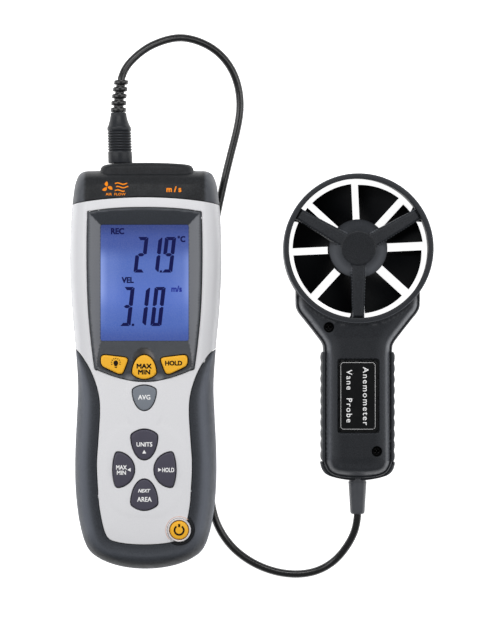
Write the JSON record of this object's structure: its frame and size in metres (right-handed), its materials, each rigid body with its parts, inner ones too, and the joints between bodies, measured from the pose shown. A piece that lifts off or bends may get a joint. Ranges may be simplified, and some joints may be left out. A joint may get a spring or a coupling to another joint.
{
  "type": "vane anemometer",
  "caption": "Handheld vane anemometer: a grey meter with rubber grip, backlit display and keypad, and a corded probe with an eight-blade impeller in a ring.",
  "frame": {"origin": "centre of the meter's width on its flat back, which lies on the surface", "axes": "+Y towards the socket end of the meter, +Z out of its face, +X towards the probe that lies beside it"},
  "size_m": [0.1817, 0.2752, 0.0433],
  "materials": {
    "shell_plastic": "fine-textured light grey moulded plastic",
    "cap_plastic": "satin charcoal moulded plastic",
    "bezel_plastic": "satin dark grey display surround",
    "grip_rubber": "matte blue-grey overmoulded rubber",
    "probe_rubber": "matte dark grey ribbed rubber",
    "yellow_key": "satin yellow keycap with dark legend",
    "grey_key": "satin mid-grey keycap with light legend",
    "dark_key": "satin purple-grey keycap with light legend",
    "display": "blue backlit liquid-crystal panel with dark digits",
    "display_window": "clear glossy window",
    "backlight": "milky light guide",
    "circuit_board": "green solder mask",
    "membrane": "grey silicone keypad",
    "steel": "zinc-plated steel",
    "key_ring": "bright metal ring",
    "battery_case": "printed steel jacket",
    "brass": "plain brass",
    "cord_jacket": "matte black flexible jacket",
    "black_plastic": "satin black plastic",
    "probe_plastic": "satin charcoal moulded plastic",
    "label": "black label with white frame and lettering"
  },
  "bodies": {
    "case": {"front_shell": "shell_plastic", "rear_shell": "shell_plastic", "front_grip": "grip_rubber", "rear_grip": "grip_rubber", "top_cap": "cap_plastic", "sensor_socket": "black_plastic", "lcd_bezel": "bezel_plastic", "lcd_window": "display_window", "lcd_panel": "display", "lcd_backlight": "backlight", "main_pcb": "circuit_board", "keypad_membrane": "membrane", "power_ring": "key_ring", "battery": "battery_case", "battery_clip": "black_plastic", "stand_pin": "steel", "case_screw_1": "steel", "case_screw_2": "steel", "case_screw_3": "steel", "case_screw_4": "steel", "plug_body": "black_plastic", "plug_strain_relief": "cord_jacket", "probe_cord": "cord_jacket", "probe_front_shell": "probe_plastic", "probe_rear_shell": "probe_plastic", "left_side_grip": "probe_rubber", "right_side_grip": "probe_rubber", "label_plate": "label", "probe_screw_1": "steel", "probe_screw_2": "steel", "probe_strain_relief": "cord_jacket", "pickup_board": "circuit_board", "pickup_coil": "brass", "vane_ring": "probe_plastic", "front_guard": "probe_plastic", "rear_guard": "probe_plastic", "front_bearing": "brass", "rear_bearing": "brass", "thermistor": "cord_jacket"},
    "impeller": {"impeller": "black_plastic", "axle": "steel"},
    "tilt_stand": {"tilt_stand": "grip_rubber"},
    "battery_door": {"battery_door": "shell_plastic", "battery_door_screw": "steel"},
    "light_button": {"light_button": "yellow_key"},
    "maxmin_button": {"maxmin_button": "yellow_key"},
    "hold_button": {"hold_button": "yellow_key"},
    "average_button": {"average_button": "grey_key"},
    "units_button": {"units_button": "dark_key"},
    "left_button": {"left_button": "dark_key"},
    "right_button": {"right_button": "dark_key"},
    "area_button": {"area_button": "dark_key"},
    "power_button": {"power_button": "yellow_key"}
  },
  "joints": [
    {"name": "impeller_spin", "type": "hinge", "parent": "case", "child": "impeller", "pos_m": [0.1063, 0.0588, 0.0124], "axis": [0, 0, 1], "continuous": true},
    {"name": "light_press", "type": "slide", "parent": "case", "child": "light_button", "axis": [0, 0, -1], "range_m": [0, 0.0008], "stiffness_N_per_m": 600},
    {"name": "maxmin_press", "type": "slide", "parent": "case", "child": "maxmin_button", "axis": [0, 0, -1], "range_m": [0, 0.0008], "stiffness_N_per_m": 600},
    {"name": "hold_press", "type": "slide", "parent": "case", "child": "hold_button", "axis": [0, 0, -1], "range_m": [0, 0.0008], "stiffness_N_per_m": 600},
    {"name": "average_press", "type": "slide", "parent": "case", "child": "average_button", "axis": [0, 0, -1], "range_m": [0, 0.0008], "stiffness_N_per_m": 600},
    {"name": "units_press", "type": "slide", "parent": "case", "child": "units_button", "axis": [0, 0, -1], "range_m": [0, 0.0008], "stiffness_N_per_m": 600},
    {"name": "left_press", "type": "slide", "parent": "case", "child": "left_button", "axis": [0, 0, -1], "range_m": [0, 0.0008], "stiffness_N_per_m": 600},
    {"name": "right_press", "type": "slide", "parent": "case", "child": "right_button", "axis": [0, 0, -1], "range_m": [0, 0.0008], "stiffness_N_per_m": 600},
    {"name": "area_press", "type": "slide", "parent": "case", "child": "area_button", "axis": [0, 0, -1], "range_m": [0, 0.0008], "stiffness_N_per_m": 600},
    {"name": "power_press", "type": "slide", "parent": "case", "child": "power_button", "axis": [0, 0, -1], "range_m": [0, 0.0008], "stiffness_N_per_m": 600},
    {"name": "stand_hinge", "type": "hinge", "parent": "case", "child": "tilt_stand", "pos_m": [0, 0.059, 0.002], "axis": [1, 0, 0], "range_deg": [0, 40]},
    {"name": "door_lift", "type": "slide", "parent": "case", "child": "battery_door", "axis": [0, 0, -1], "range_m": [0, 0.012]}
  ]
}
